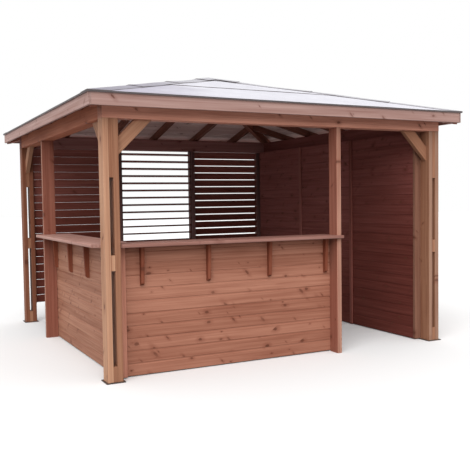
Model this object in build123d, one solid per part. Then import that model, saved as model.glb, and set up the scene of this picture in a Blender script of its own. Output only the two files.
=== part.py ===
from build123d import *
import os
from math import cos, radians, sin, sqrt, tan

# Garden shelter with a corner bar, a boarded side and a louvred back under a hipped roof.
# Millimetres, +Z up, +X to the right along the front, +Y to the back.
# The origin is on the ground at the middle of the plan.

# Plan and posts
PLAN_SIDE = 3260.0  # over the outer faces of the corner posts
HEAD_HEIGHT = 1985.0  # ground to the underside of the beams
BAY_COUNT = 3  # equal bays between the corner posts of a side
POST_SIDE = 120.0
POST_PLY = 44.0  # each outer ply of a corner post
FOOT_BLOCK_HEIGHT = 118.0
MIDDLE_BLOCK_LEVEL = 846.0  # ground to the underside of the middle spacer
MIDDLE_BLOCK_HEIGHT = 118.0
HEAD_BLOCK_HEIGHT = 440.0
PLATE_SIDE = 150.0
PLATE_THICKNESS = 8.0
MID_POST_WIDTH = 45.0
ARRIS = 4.0  # rounding of the long edges of planed timber

# Beams and knee braces
BEAM_WIDTH = 120.0
BEAM_HEIGHT = 130.0
BRACE_LEG = 280.0  # post to the far end of a brace, along the beam
BRACE_WIDTH = 98.0
BRACE_THICKNESS = 45.0

# Roof
EAVE_OVERHANG = 140.0  # outer face of the posts to the face of the fascia
FASCIA_THICKNESS = 22.0
FASCIA_HEIGHT = 98.0
FASCIA_RISE = 72.0  # underside of the beams to the lower edge of the fascia
ROOF_PITCH = 14.7  # degrees
DECK_THICKNESS = 15.0
FELT_THICKNESS = 6.0
FELT_DRIP = 12.0  # felt beyond the face of the fascia
HIP_CAP_WIDTH = 250.0
HIP_CAP_THICKNESS = 4.0
RAFTER_WIDTH = 45.0
RAFTER_DEPTH = 70.0
RAFTER_SPACING = 550.0
HIP_WIDTH = 50.0
HIP_DEPTH = 100.0
KING_WIDTH = 150.0  # across the flats of the octagonal block at the peak
KING_DROP = 35.0  # king block below the hip rafters

# Bar on the front and the left
BAR_HEIGHT = 1045.0
BAR_THICKNESS = 27.0
BAR_ARRIS = 7.0  # rounding of the long edges of the bar
BAR_INNER_REACH = 150.0  # inner edge of the bar past the inner faces of the posts
FRONT_BAR_OVERHANG = 41.0  # outer edge of the bar past the outer faces of the posts
LEFT_BAR_OVERHANG = 71.0
COUNTER_THICKNESS = 65.0
BATTEN_WIDTH = 64.0
BATTEN_THICKNESS = 30.0
BRACKET_COUNT = 4
BRACKET_WIDTH = 28.0
BRACKET_HEAD_DEPTH = 50.0
BRACKET_FOOT_DEPTH = 34.0
BRACKET_HEIGHT = 305.0
BRACKET_NOSE = 16.0  # chamfer at the foot of a bracket
BRACKET_FIRST = 200.0  # corner post to the middle of the first bracket
BRACKET_LAST = 57.0  # middle of the last bracket to the middle post

# Boarded right side
WALL_THICKNESS = 85.0
WALL_INNER_REACH = 65.0  # inner face of the wall past the inner faces of the posts
END_STUD_DEPTH = 30.0  # upright at the front end of the wall
STRIP_WIDTH = 45.0  # strips over the joints between the bays
STRIP_THICKNESS = 16.0

# Louvred back
LOUVRE_BOTTOM = 215.0
BLADE_COUNT = 20
BLADE_WIDTH = 88.0
BLADE_THICKNESS = 18.0
BLADE_CHAMFER = 5.0  # at the long edges of a blade
STILE_WIDTH = 12.0
CORNER_STILE_WIDTH = 100.0  # stile beside the rear right post
STILE_DEPTH = 60.0
LEFT_BLADE_TILT = 76.0  # degrees from level, rear edge low
MIDDLE_BLADE_TILT = 4.0
RIGHT_BLADE_TILT = 57.0

# Worked out from the sizes above
HALF = PLAN_SIDE / 2
INNER = HALF - POST_SIDE  # inner faces of the corner posts
POST_CENTRE = HALF - POST_SIDE / 2
SLOT = POST_SIDE - 2 * POST_PLY
BAY_EDGE = 2 * INNER / BAY_COUNT / 2  # far face of a middle post from the middle of its side
BAY_INNER_EDGE = BAY_EDGE - MID_POST_WIDTH
BEAM_TOP = HEAD_HEIGHT + BEAM_HEIGHT
COUNTER_TOP = BAR_HEIGHT - BAR_THICKNESS
PITCH = radians(ROOF_PITCH)
EAVE_HALF = HALF + EAVE_OVERHANG
EAVE_INNER = EAVE_HALF - FASCIA_THICKNESS
EAVE_LEVEL = HEAD_HEIGHT + FASCIA_RISE + FASCIA_HEIGHT  # top of the boarding at the fascia
FELT_HALF = EAVE_HALF + FELT_DRIP
PEAK_LEVEL = EAVE_LEVEL + EAVE_HALF * tan(PITCH)
CLEAR_ABOVE = PEAK_LEVEL + EAVE_HALF  # a level above everything
OUTWARD = {"front": (0, -1), "right": (1, 0), "rear": (0, 1), "left": (-1, 0)}
CORNERS = {"front_left": (-1, -1), "front_right": (1, -1), "rear_left": (-1, 1), "rear_right": (1, 1)}


def block(x_span, y_span, z_span):
    """A box between the low and high ends of three spans."""
    low = [min(span) for span in (x_span, y_span, z_span)]
    size = [abs(span[1] - span[0]) for span in (x_span, y_span, z_span)]
    return Pos(*low) * Box(*size, align=(Align.MIN, Align.MIN, Align.MIN))


def save(name, *shapes):
    """Write the solids of one node."""
    solids = [solid for shape in shapes for solid in shape.solids()]
    export_step(solids[0] if len(solids) == 1 else Compound(children=solids), f"parts/{name}.step")


def eased(shape, axis, radius=ARRIS):
    """Round the edges of a piece that run along an axis."""
    return fillet(shape.edges().filter_by(axis), radius)


def swap_sides(shape):
    """Turn a piece of the front into the same piece of the left side, about the diagonal."""
    return Rot(0, 0, -90) * mirror(shape, about=Plane.YZ)


# Roof geometry


def slope_plane(side, lift):
    """The top of the boarding on one slope, moved square to the slope by lift."""
    east, north = OUTWARD[side]
    normal = Vector(east * sin(PITCH), north * sin(PITCH), cos(PITCH))
    foot = Vector(east * EAVE_HALF, north * EAVE_HALF, EAVE_LEVEL)
    return Plane(origin=foot + normal * lift, x_dir=(-north, east, 0), z_dir=normal)


def under_roof(shape, lift):
    """What lies below all four slopes."""
    for side in OUTWARD:
        shape = split(shape, bisect_by=slope_plane(side, lift), keep=Keep.BOTTOM)
    return shape


def front_layer(shape, top_lift, bottom_lift):
    """What lies between two levels of the front slope."""
    shape = split(shape, bisect_by=slope_plane("front", top_lift), keep=Keep.BOTTOM)
    return split(shape, bisect_by=slope_plane("front", bottom_lift), keep=Keep.TOP)


def front_sector(reach, hip_gap):
    """An upright prism on the front quarter of the plan, held back from the hips by hip_gap."""
    setback = hip_gap * sqrt(2)
    corner = reach - setback
    outline = Polyline((0, -setback), (-corner, -reach), (corner, -reach), close=True)
    return extrude(make_face(outline), CLEAR_ABOVE)


def turned(shape, side):
    """A piece of the front slope carried round to another side."""
    return Rot(0, 0, 90 * list(OUTWARD).index(side)) * shape


# Posts


def corner_post_plies(east, north):
    """The two long outer plies of a corner post, with a slot between them from front to back."""
    for ply in (-1, 1):
        middle = east * POST_CENTRE + ply * (SLOT + POST_PLY) / 2
        plank = block(
            (middle - POST_PLY / 2, middle + POST_PLY / 2),
            (north * INNER, north * HALF),
            (PLATE_THICKNESS, HEAD_HEIGHT),
        )
        yield eased(plank, Axis.Z)


def corner_post_blocks(east, north):
    """The spacers that hold the plies apart at the foot, the middle and the head."""
    spans = (
        (PLATE_THICKNESS, PLATE_THICKNESS + FOOT_BLOCK_HEIGHT),
        (MIDDLE_BLOCK_LEVEL, MIDDLE_BLOCK_LEVEL + MIDDLE_BLOCK_HEIGHT),
        (HEAD_HEIGHT - HEAD_BLOCK_HEIGHT, HEAD_HEIGHT),
    )
    middle = east * POST_CENTRE
    for span in spans:
        yield block((middle - SLOT / 2, middle + SLOT / 2), (north * INNER, north * HALF), span)


def base_plate(east, north):
    """The flat steel shoe under a corner post."""
    plate = Box(PLATE_SIDE, PLATE_SIDE, PLATE_THICKNESS, align=(Align.CENTER, Align.CENTER, Align.MIN))
    return Pos(east * POST_CENTRE, north * POST_CENTRE, 0) * plate


front_mid_post = block((BAY_INNER_EDGE, BAY_EDGE), (-HALF, -INNER), (0, HEAD_HEIGHT))
rear_mid_post = block((BAY_INNER_EDGE, BAY_EDGE), (INNER, HALF), (0, HEAD_HEIGHT))

# Beams on the posts: front and rear run through, left and right fit between them
front_beam = block((-HALF, HALF), (-HALF, BEAM_WIDTH - HALF), (HEAD_HEIGHT, BEAM_TOP))
rear_beam = mirror(front_beam, about=Plane.XZ)
BETWEEN_BEAMS = (BEAM_WIDTH - HALF, HALF - BEAM_WIDTH)
right_beam = block((HALF - BEAM_WIDTH, HALF), BETWEEN_BEAMS, (HEAD_HEIGHT, BEAM_TOP))
left_beam = mirror(right_beam, about=Plane.YZ)


def front_brace():
    """The knee brace from the front left post to the front beam, in the middle of both."""
    head = BRACE_LEG - BRACE_WIDTH * sqrt(2)
    outline = Polyline(
        (-INNER, HEAD_HEIGHT - BRACE_LEG),
        (BRACE_LEG - INNER, HEAD_HEIGHT),
        (head - INNER, HEAD_HEIGHT),
        (-INNER, HEAD_HEIGHT - head),
        close=True,
    )
    board = extrude(make_face(Plane.XZ * outline), BRACE_THICKNESS)
    return Pos(0, BRACE_THICKNESS / 2 - POST_CENTRE, 0) * eased(board, Axis((0, 0, 0), (1, 0, 1)))


# Roof frame


def hip_rafter():
    """The hip over the front left corner, backed to both slopes and pointed into the fascias."""
    fall = tan(PITCH) / sqrt(2)
    peak = PEAK_LEVEL - DECK_THICKNESS / cos(PITCH)
    depth = HIP_DEPTH * sqrt(1 + fall**2)
    start = KING_WIDTH / 2
    end = EAVE_HALF * sqrt(2)
    outline = Polyline(
        (start, peak - start * fall),
        (end, peak - end * fall),
        (end, peak - end * fall - depth),
        (start, peak - start * fall - depth),
        close=True,
    )
    plank = extrude(make_face(Plane.XZ * outline), HIP_WIDTH / 2, both=True)
    plank = Rot(0, 0, 225) * plank
    plank = under_roof(plank, -DECK_THICKNESS)
    return plank & block((-EAVE_INNER, 0), (-EAVE_INNER, 0), (0, CLEAR_ABOVE))


def king_block():
    """The octagonal block at the peak that the hips and the middle rafters butt against."""
    fall = tan(PITCH) / sqrt(2)
    bottom = PEAK_LEVEL - DECK_THICKNESS / cos(PITCH) - KING_WIDTH / 2 * fall - HIP_DEPTH - KING_DROP
    outline = RegularPolygon(KING_WIDTH / 2, 8, major_radius=False, rotation=180 / 8)
    prism = Pos(0, 0, bottom) * extrude(outline, CLEAR_ABOVE - bottom)
    return under_roof(prism, -DECK_THICKNESS)


def front_rafters():
    """Middle rafter and jack rafters of the front slope, notched over the beam and cut to the hips."""
    quarter = front_sector(EAVE_INNER, HIP_WIDTH / 2)
    jack_count = int(INNER / RAFTER_SPACING)
    for place in range(-jack_count, jack_count + 1):
        middle = place * RAFTER_SPACING
        plank = block(
            (middle - RAFTER_WIDTH / 2, middle + RAFTER_WIDTH / 2),
            (-EAVE_INNER, -KING_WIDTH / 2),
            (0, CLEAR_ABOVE),
        )
        plank = front_layer(plank & quarter, -DECK_THICKNESS, -DECK_THICKNESS - RAFTER_DEPTH)
        yield plank - front_beam


front_deck = front_layer(front_sector(EAVE_INNER, 0), 0, -DECK_THICKNESS)
front_felt = front_layer(front_sector(FELT_HALF, 0), FELT_THICKNESS, 0)

# Fascias: the side boards run through and show their ends at the front and the back
FASCIA_SPAN = (EAVE_LEVEL - FASCIA_HEIGHT, PEAK_LEVEL)
front_fascia = under_roof(block((-EAVE_INNER, EAVE_INNER), (-EAVE_HALF, -EAVE_INNER), FASCIA_SPAN), 0)
front_fascia = fillet(front_fascia.edges().group_by(Axis.Z)[0].filter_by(Axis.X), ARRIS)
right_fascia = under_roof(block((EAVE_INNER, EAVE_HALF), (-EAVE_HALF, EAVE_HALF), FASCIA_SPAN), 0)
right_fascia = fillet(right_fascia.edges().group_by(Axis.Z)[0].filter_by(Axis.Y), ARRIS)


def hip_caps():
    """One folded strip of felt over each hip, joined at the peak."""
    over = block((-FELT_HALF, FELT_HALF), (-FELT_HALF, FELT_HALF), (0, CLEAR_ABOVE))
    skin = under_roof(over, FELT_THICKNESS + HIP_CAP_THICKNESS) - under_roof(over, FELT_THICKNESS)
    strip = Rectangle(2 * sqrt(2) * FELT_HALF, HIP_CAP_WIDTH)
    return skin & extrude(Rot(0, 0, 45) * strip + Rot(0, 0, -45) * strip, CLEAR_ABOVE)


# Bar


def front_bar_top(overhang):
    """Bar board, mitred in the corner behind the post and notched round the middle post."""
    inner = INNER - BAR_INNER_REACH
    outer = HALF + overhang
    outline = Polyline(
        (-INNER, -outer),
        (BAY_EDGE, -outer),
        (BAY_EDGE, -inner),
        (-inner, -inner),
        (-INNER, -INNER),
        close=True,
    )
    board = Pos(0, 0, COUNTER_TOP) * extrude(make_face(outline), BAR_THICKNESS)
    long_edges = board.edges().filter_by(Axis.X).group_by(Axis.Y)
    return fillet(long_edges[0] + long_edges[-1], BAR_ARRIS) - front_mid_post


def front_brackets():
    """Tapered upright cleats under the bar, on the face of the counter."""
    outline = Polyline(
        (0, COUNTER_TOP),
        (-BRACKET_HEAD_DEPTH, COUNTER_TOP),
        (-BRACKET_FOOT_DEPTH, COUNTER_TOP - BRACKET_HEIGHT + BRACKET_NOSE),
        (BRACKET_NOSE - BRACKET_FOOT_DEPTH, COUNTER_TOP - BRACKET_HEIGHT),
        (0, COUNTER_TOP - BRACKET_HEIGHT),
        close=True,
    )
    cleat = extrude(make_face(Plane.YZ * outline), BRACKET_WIDTH / 2, both=True)
    first = BRACKET_FIRST - INNER
    pitch = (BAY_INNER_EDGE - BRACKET_LAST - first) / (BRACKET_COUNT - 1)
    return [Pos(first + place * pitch, -INNER, 0) * cleat for place in range(BRACKET_COUNT)]


COUNTER_SPAN = (PLATE_THICKNESS, COUNTER_TOP)  # clear of the ground, level with the tops of the plates
COUNTER_BACK = COUNTER_THICKNESS - INNER
front_counter = block((-INNER, BAY_EDGE), (-INNER, COUNTER_BACK), COUNTER_SPAN)
left_counter = block((-INNER, COUNTER_BACK), (COUNTER_BACK, BAY_EDGE), COUNTER_SPAN)
front_batten = block((-INNER, BATTEN_WIDTH - INNER), (-INNER - BATTEN_THICKNESS, -INNER), COUNTER_SPAN)


def right_wall_panel(bay):
    """One bay of the boarded side; the first one starts behind the end stud."""
    inner = INNER - WALL_INNER_REACH
    start = -INNER + bay * 2 * INNER / BAY_COUNT
    end = start + 2 * INNER / BAY_COUNT
    if bay == 0:
        start += END_STUD_DEPTH
    return block((inner, inner + WALL_THICKNESS), (start, end), (PLATE_THICKNESS, HEAD_HEIGHT))


def right_wall_stud():
    """The upright that closes the front end of the boarded side."""
    inner = INNER - WALL_INNER_REACH
    stud = block(
        (inner, inner + WALL_THICKNESS),
        (-INNER, END_STUD_DEPTH - INNER),
        (PLATE_THICKNESS, HEAD_HEIGHT),
    )
    return eased(stud, Axis.Z)


def right_wall_strip(bay):
    """The upright strip over the joint at the near end of a bay, inside."""
    inner = INNER - WALL_INNER_REACH
    joint = -INNER + bay * 2 * INNER / BAY_COUNT
    strip = block(
        (inner - STRIP_THICKNESS, inner),
        (joint - STRIP_WIDTH / 2, joint + STRIP_WIDTH / 2),
        (PLATE_THICKNESS, HEAD_HEIGHT),
    )
    return eased(strip, Axis.Z)


# Louvres


def louvre_bank(start, end, tilt):
    """Blades between two stiles, turned about their length so that the rear edge is low."""
    board = Rectangle(BLADE_WIDTH, BLADE_THICKNESS)
    profile = Plane.YZ * chamfer(board.vertices(), BLADE_CHAMFER)
    blade = Rot(-tilt, 0, 0) * extrude(profile, (end - start) / 2, both=True)
    pitch = (HEAD_HEIGHT - LOUVRE_BOTTOM) / BLADE_COUNT
    for place in range(BLADE_COUNT):
        level = LOUVRE_BOTTOM + (place + 1 / 2) * pitch
        yield Pos((start + end) / 2, POST_CENTRE, level) * blade


def stile(start, width):
    """An upright board that the ends of the blades turn in."""
    depth = (POST_CENTRE - STILE_DEPTH / 2, POST_CENTRE + STILE_DEPTH / 2)
    return block((start, start + width), depth, (LOUVRE_BOTTOM, HEAD_HEIGHT))


stiles = [
    stile(-INNER, STILE_WIDTH),
    stile(-BAY_EDGE - STILE_WIDTH, STILE_WIDTH),
    stile(-BAY_INNER_EDGE, STILE_WIDTH),
    stile(BAY_INNER_EDGE - STILE_WIDTH, STILE_WIDTH),
    stile(BAY_EDGE, STILE_WIDTH),
    stile(INNER - CORNER_STILE_WIDTH, CORNER_STILE_WIDTH),
]
BANKS = {
    "left": (STILE_WIDTH - INNER, -BAY_EDGE - STILE_WIDTH, LEFT_BLADE_TILT),
    "middle": (STILE_WIDTH - BAY_INNER_EDGE, BAY_INNER_EDGE - STILE_WIDTH, MIDDLE_BLADE_TILT),
    "right": (BAY_EDGE + STILE_WIDTH, INNER - CORNER_STILE_WIDTH, RIGHT_BLADE_TILT),
}

# Write every node
os.makedirs("parts", exist_ok=True)
for corner, hands in CORNERS.items():
    save(f"{corner}_post", *corner_post_plies(*hands))
save("post_spacer_blocks", *(piece for hands in CORNERS.values() for piece in corner_post_blocks(*hands)))
save("post_base_plates", *(base_plate(*hands) for hands in CORNERS.values()))
save("front_mid_post", eased(front_mid_post, Axis.Z))
save("left_mid_post", swap_sides(eased(front_mid_post, Axis.Z)))
eased_rear_post = eased(rear_mid_post, Axis.Z)
save("rear_mid_posts", eased_rear_post, mirror(eased_rear_post, about=Plane.YZ))
save("front_beam", eased(front_beam, Axis.X))
save("rear_beam", eased(rear_beam, Axis.X))
save("left_beam", eased(left_beam, Axis.Y))
save("right_beam", eased(right_beam, Axis.Y))
brace = front_brace()
left_brace = swap_sides(brace)
save(
    "knee_braces",
    brace,
    mirror(brace, about=Plane.YZ),
    left_brace,
    mirror(left_brace, about=Plane.XZ),
)
hip = hip_rafter() - front_beam - left_beam
save("hip_rafters", *(turned(hip, side) for side in OUTWARD))
save("king_block", king_block())
rafters = list(front_rafters())
save("rafters", *(turned(rafter, side) for side in OUTWARD for rafter in rafters))
for side in OUTWARD:
    save(f"{side}_roof_deck", turned(front_deck, side))
    save(f"{side}_roof_felt", turned(front_felt, side))
save("hip_caps", hip_caps())
save("front_fascia", front_fascia)
save("rear_fascia", mirror(front_fascia, about=Plane.XZ))
save("right_fascia", right_fascia)
save("left_fascia", mirror(right_fascia, about=Plane.YZ))
save("front_counter", front_counter)
save("left_counter", left_counter)
eased_batten = eased(front_batten, Axis.Z)
save("counter_battens", eased_batten, swap_sides(eased_batten))
save("front_bar_top", front_bar_top(FRONT_BAR_OVERHANG))
save("left_bar_top", swap_sides(front_bar_top(LEFT_BAR_OVERHANG)))
brackets = front_brackets()
save("bar_brackets", *brackets, *(swap_sides(cleat) for cleat in brackets))
for bay, place in enumerate(("front", "middle", "rear")):
    save(f"right_wall_{place}", right_wall_panel(bay))
save("right_wall_strips", right_wall_stud(), *(right_wall_strip(bay) for bay in range(1, BAY_COUNT)))
save("louvre_stiles", *stiles)
for bank, (start, end, tilt) in BANKS.items():
    save(f"{bank}_louvres", *louvre_bank(start, end, tilt))
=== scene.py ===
"""Garden shelter with a corner bar: timber, boards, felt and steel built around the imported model."""

import math
import random

import bmesh
import bpy
from bpy.props import FloatProperty, FloatVectorProperty, PointerProperty
from bpy.types import Operator, Panel, PropertyGroup
from mathutils import Matrix, Vector, noise


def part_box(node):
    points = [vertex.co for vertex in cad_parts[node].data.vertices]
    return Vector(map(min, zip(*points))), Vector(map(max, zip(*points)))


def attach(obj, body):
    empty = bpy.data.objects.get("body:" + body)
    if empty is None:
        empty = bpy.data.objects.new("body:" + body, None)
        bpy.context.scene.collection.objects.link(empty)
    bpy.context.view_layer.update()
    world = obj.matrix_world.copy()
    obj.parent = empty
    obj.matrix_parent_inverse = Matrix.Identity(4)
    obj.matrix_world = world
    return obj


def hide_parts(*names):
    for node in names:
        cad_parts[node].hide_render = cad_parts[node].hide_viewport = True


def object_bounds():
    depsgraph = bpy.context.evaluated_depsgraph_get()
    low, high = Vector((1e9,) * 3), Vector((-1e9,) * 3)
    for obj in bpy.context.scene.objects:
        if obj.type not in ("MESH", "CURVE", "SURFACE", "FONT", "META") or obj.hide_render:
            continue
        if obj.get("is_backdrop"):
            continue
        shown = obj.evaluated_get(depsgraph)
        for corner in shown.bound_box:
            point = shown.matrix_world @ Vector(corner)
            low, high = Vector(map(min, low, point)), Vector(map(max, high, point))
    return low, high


bl_info = {
    "name": "Garden Shelter",
    "version": (1, 0, 0),
    "blender": (4, 5, 0),
    "location": "View3D > Sidebar > Shelter",
    "description": "Builds the boards, timbers and roof of a garden shelter with a corner bar",
    "category": "Object",
}

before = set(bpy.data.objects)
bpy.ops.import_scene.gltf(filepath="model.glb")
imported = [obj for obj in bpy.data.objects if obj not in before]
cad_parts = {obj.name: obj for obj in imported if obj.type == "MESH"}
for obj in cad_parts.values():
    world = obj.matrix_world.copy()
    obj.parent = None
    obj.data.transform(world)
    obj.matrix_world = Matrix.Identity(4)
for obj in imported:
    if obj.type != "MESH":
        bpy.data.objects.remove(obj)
CAD_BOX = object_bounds()

BODY = "root"
UP = Vector((0, 0, 1))
RIGHT = Vector((1, 0, 0))
BACK = Vector((0, 1, 0))
SIDES = {"front": -BACK, "right": RIGHT, "rear": BACK, "left": -RIGHT}

# Cutting and rounding
MERGE = 1e-5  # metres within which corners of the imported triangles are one
FLAT = math.radians(1)  # faces that meet at less are one face
SHARP = math.radians(40)  # edges that turn more get an arris
COVE_TURN = (0, 30, 60, 90)  # degrees, the corners of the cove along a board
END_SPACE = 0.3  # metres from the end of a row of uprights into the first space

# Felt
ROOF_PITCH = 14.7  # degrees
LAP_FADE = 1.6  # a lap has settled after one course divided by this
COURSE_RISE = 4  # a hip strip rises to a lap over one course divided by this
STRIP_RISE = 3  # a strip's lower end rises over its length divided by this
WAVES = (3.1, 9.7)  # long and short ones in a metre
CUT_EDGE = 0.5  # faces that look up by less than this share are cut edges

# Grain and tone of each piece of timber
STEEP = 0.9  # pieces that rise by more than this share stand upright
ALIGNED = 0.7  # faces that look along a direction by more than this share face it
LOG_LENGTH = 40  # metres of log that pieces are sawn from
PITH_ACROSS = 0.05  # metres from the middle of a face to the middle of the log, at most
PITH_DEEP = (0.03, 0.09)  # metres from the face to the middle of the log
# Inner wall boards and louvre blades darker towards the bottom, and the inner boards darkest in the
# front bay: painted shade
INNER_SHADE_TONES = {"right_wall_front": (-0.5, 0.65), "right_wall_middle": (-0.4, 1.3),
               "right_wall_rear": (-0.2, 1.55)}  # lowest and highest boards, held to 0 and 1
RISING = 0.9  # share of a board's tone that follows its height, where lower boards are darker

# Stage
HORIZON = 0.5  # light from the horizon as a share of the light from overhead
FLOOR_CORNERS = 96


# Sizes and colours


def length(name, description, default):
    """A size in metres that a user can change."""
    return FloatProperty(name=name, description=description, default=default, unit="LENGTH",
                         precision=4)


def angle(name, description, degrees):
    """An angle that a user can change."""
    return FloatProperty(name=name, description=description, default=math.radians(degrees),
                         subtype="ANGLE")


def share(name, description, default):
    """A number from 0 to 1 that a user can change."""
    return FloatProperty(name=name, description=description, default=default, subtype="FACTOR")


def colour(name, default):
    """A colour that a user can change."""
    return FloatVectorProperty(name=name, description=f"Colour of the {name.lower()}", default=default,
                               subtype="COLOR", size=3, min=0, max=1)


class ShelterSizes(PropertyGroup):
    """Sizes of the boards, edges and roof sheets."""

    board_cover: length("Board cover", "Height that one course of cladding covers", 0.098)
    board_thickness: length("Board thickness", "Cladding board from back to face", 0.018)
    cove_height: length("Cove height", "Recessed strip along the top of a board", 0.016)
    cove_depth: length("Cove depth", "How far the strip lies behind the face", 0.004)
    arris: length("Arris", "Rounding of sawn and planed edges", 0.0025)
    saw_cut: length("Saw cut", "Gap between neighbouring planks", 0.002)
    roof_board: length("Roof board", "Width of the boards under the felt", 0.095)
    felt_course: length("Felt course", "Felt that shows between two laps, up the slope", 0.81)
    felt_lap: length("Felt lap", "Overlap of two courses of felt", 0.09)
    felt_lift: length("Felt lift", "Rise of a course where it lies on the one below", 0.005)
    felt_wave: length("Felt wave", "Unevenness of the felt", 0.0016)
    strip_length: length("Strip length", "Felt strips up the hips", 0.9)
    strip_peak: length("Peak piece", "Square piece over the peak, from its middle to a corner", 0.34)
    felt_grid: length("Felt grid", "Spacing of the felt's own mesh", 0.16)
    lip_drop: length("Lip drop", "Felt turned down at the eaves", 0.004)
    lip_thickness: length("Lip thickness", "Thickness of the turned down edge", 0.004)


class ShelterColours(PropertyGroup):
    """Stains and colours of the finishes."""

    post: colour("Posts", (0.37, 0.203, 0.126))
    # Rear posts: darker and redder as painted shade
    rear_post: colour("Rear posts", (0.285, 0.132, 0.08))
    # Plank posts, also hips and the end stile: darkened as painted shade on the plank posts' broad
    # faces
    red_post: colour("Plank posts", (0.305, 0.123, 0.085))
    # Narrow front faces of the plank posts: paler as painted light
    lit_plank_edge: colour("Edges of plank posts", (0.39, 0.212, 0.155))
    weathered: colour("Weathered post front", (0.385, 0.255, 0.186))
    # Front beam, also the battens: paler as painted light where the eaves shade it
    beam: colour("Front beam", (0.48, 0.22, 0.155))
    left_beam: colour("Left beam", (0.485, 0.196, 0.115))
    # Rear beam: darker as painted shade
    rear_beam: colour("Rear beam", (0.31, 0.152, 0.14))
    rafter: colour("Rafters", (0.20, 0.085, 0.06))
    roof_board: colour("Roof boards", (0.80, 0.63, 0.60))
    fascia: colour("Fascias", (0.40, 0.268, 0.24))
    cladding: colour("Cladding outside", (0.342, 0.154, 0.102))
    # Left counter: paler than the front counter as painted light
    lit_left_cladding: colour("Left counter", (0.372, 0.186, 0.123))
    # Inside boards, also the right beam: darker than outside, in part as painted shade
    shaded_lining: colour("Cladding inside", (0.20, 0.067, 0.058))
    bar: colour("Front bar", (0.27, 0.14, 0.115))
    # Left bar: paler and greyer as a painted sheen on its top
    left_bar: colour("Left bar", (0.44, 0.265, 0.225))
    # Brackets: darkened as painted shade under the bars; the roof boards' knots share it
    bracket: colour("Brackets", (0.24, 0.08, 0.046))
    wall_end: colour("Wall end", (0.235, 0.123, 0.085))
    louvre: colour("Louvres", (0.225, 0.08, 0.064))
    mullion: colour("Mullions", (0.15, 0.083, 0.078))
    strip: colour("Joint strips", (0.245, 0.092, 0.076))
    knot: colour("Knots", (0.105, 0.034, 0.02))
    felt: colour("Roof felt", (0.66, 0.65, 0.71))
    hip_felt: colour("Hip felt", (0.44, 0.43, 0.47))
    felt_edge: colour("Felt edge", (0.095, 0.078, 0.078))
    steel: colour("Steel", (0.055, 0.05, 0.048))
    rust: colour("Rust", (0.17, 0.065, 0.025))


class ShelterStage(PropertyGroup):
    """Camera, light and floor."""

    camera_place: FloatVectorProperty(name="Camera place", description="Where the camera stands",
                                      default=(-3.160, -6.730, 1.364), subtype="TRANSLATION",
                                      unit="LENGTH")
    heading: angle("Heading", "Camera turned right from looking at the front", 27.13)
    tilt: angle("Tilt", "Camera above the horizon", -2.82)
    roll: angle("Roll", "Camera turned about its view", -0.81)
    lens: FloatProperty(name="Lens", description="Focal length", default=54.2, unit="CAMERA")
    sun_heading: angle("Sun heading", "Where the soft sun stands, left of the front", 32)
    sun_height: angle("Sun height", "Soft sun above the horizon", 38)
    sun_spread: angle("Sun spread", "How wide the soft sun is", 60)
    sun_strength: FloatProperty(name="Sun strength", description="Light of the soft sun", default=2.6)
    sky_strength: FloatProperty(name="Sky strength", description="Light from overhead", default=1.15)
    floor_radius: length("Floor radius", "Half the width of the floor", 60)
    floor_bounce: share("Floor bounce", "Share of light that the floor returns", 0.32)
    floor_shade: share("Floor shade", "Floor as the camera sees it", 0.80)


class ShelterSettings(PropertyGroup):
    """Everything that a user can change."""

    sizes: PointerProperty(type=ShelterSizes)
    colours: PointerProperty(type=ShelterColours)
    stage: PointerProperty(type=ShelterStage)


# Shaders


BUMP = 0.7  # strength of every relief
MIDDLE = 0.5  # of a noise

# Timber: shares of a tint in red, green and blue
EARLY_WOOD = 1.18
LATE_WOOD = (0.70, 0.56, 0.52)
KNOT_HALO = (0.52, 0.34, 0.30)
DARKEST = (0.5, 0.7, 0.78)  # what a spread of 1 takes from the darkest piece
PALEST = (0.5, 0.58, 0.62)  # what a spread of 1 adds to the palest piece

# Timber: strengths, the least one and what the strongest knot or ring adds
HALO_STRENGTH = (0.20, 0.35)
KNOT_STRENGTH = (0.55, 0.4)
END_GRAIN = (0.18, 0.25)

# Timber: knots in their cells, in sizes of a cell
KNOT_SIZE = (0.04, 0.11)
KNOT_EDGE = (1.15, 0.6)  # fades in between these, in sizes of the knot
HALO_EDGE = (3.4, 0.8)
WOBBLE = 0.010  # metres that a knot's outline wanders
ROUND_DRAWN = 0.62  # drawn out along the grain
SLANT_DRAWN = (0.4, 1.1)  # along the branch and across it
SLANT_SHIFT = (7, 3)  # apart from the round knots
SLANT_STRENGTH = 0.8

# Timber: growth rings, in metres
RING = 0.006
RING_WANDER = 0.03
RING_BEND = 0.005  # round a knot
RING_TURN = 2.2  # a power: how late in its year a ring turns dark
GRAIN_RELIEF = 0.0007

# Timber: depth of the stain, height and roughness, by pattern
PLAIN_STAIN, LATE_STAIN, FIBRE_STAIN, STREAK_STAIN, BLOTCH_STAIN = 0.34, 0.22, 0.7, 1.5, 1.0
LATE_HEIGHT, FIBRE_HEIGHT, KNOT_HOLLOW = 0.45, 0.55, 0.5
FIBRE_ROUGH, KNOT_SMOOTH = 0.22, 0.12
TIMBER_SHEEN = 0.1

# Felt
# Felt greyed to the left: a painted dim reflection
DIM_REFLECTION = (0.62, 0.59, 0.66)  # shares of a tint
DIM_REFLECTION_PLACE = (-1.25, -0.45)  # metres right of the middle, where the painted dim reflection is full and where it ends
DIM_REFLECTION_EDGE = 0.9  # metres that patches move the greyed edge
FELT_RELIEF = 0.0012
PLAIN_SHADE, GRANULE_SHADE, PATCH_SHADE, STAIN_SHADE = 0.72, 0.25, 0.35, 0.25
FELT_ROUGH, GRANULE_ROUGH, PATCH_SMOOTH = 0.42, 0.2, 0.5

# Steel
RUST_EDGE = (0.48, 0.62)
STEEL_SHADE = (0.75, 0.5)  # least, and what grit adds
STEEL_ROUGH = (0.45, 0.4)  # least, and what rust adds
STEEL_METAL = 0.7
GRIT_HEIGHT = 0.4
STEEL_RELIEF = 0.0008


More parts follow.
